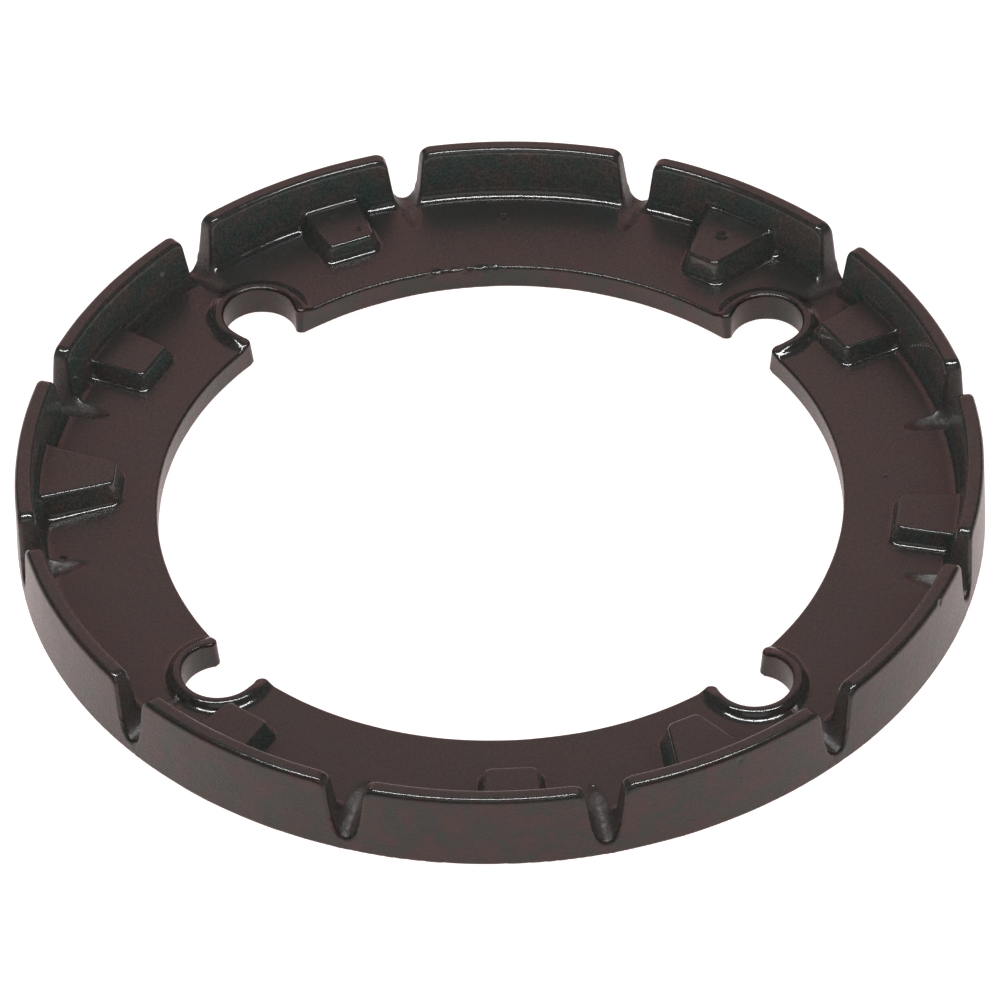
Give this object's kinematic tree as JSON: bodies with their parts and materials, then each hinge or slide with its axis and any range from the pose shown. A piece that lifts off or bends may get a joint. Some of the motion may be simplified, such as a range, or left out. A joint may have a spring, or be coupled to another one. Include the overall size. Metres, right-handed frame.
{
  "type": "drain flashing clamp ring",
  "caption": "Round cast-iron flashing clamp ring with a slotted upright gravel-stop wall, open bolt notches in its bore and raised pads on its web.",
  "frame": {"origin": "centre of the ring on its flat clamping face", "axes": "+Z along the ring's axis, from the clamping face towards the rim of the wall; +X midway between two drain slots"},
  "size_m": [0.3428, 0.3428, 0.0293],
  "materials": {
    "coated_cast_iron": "semi-gloss dark dip coating over a sand-cast surface"
  },
  "bodies": {
    "root": {"clamp_ring_casting": "coated_cast_iron"}
  },
  "joints": []
}
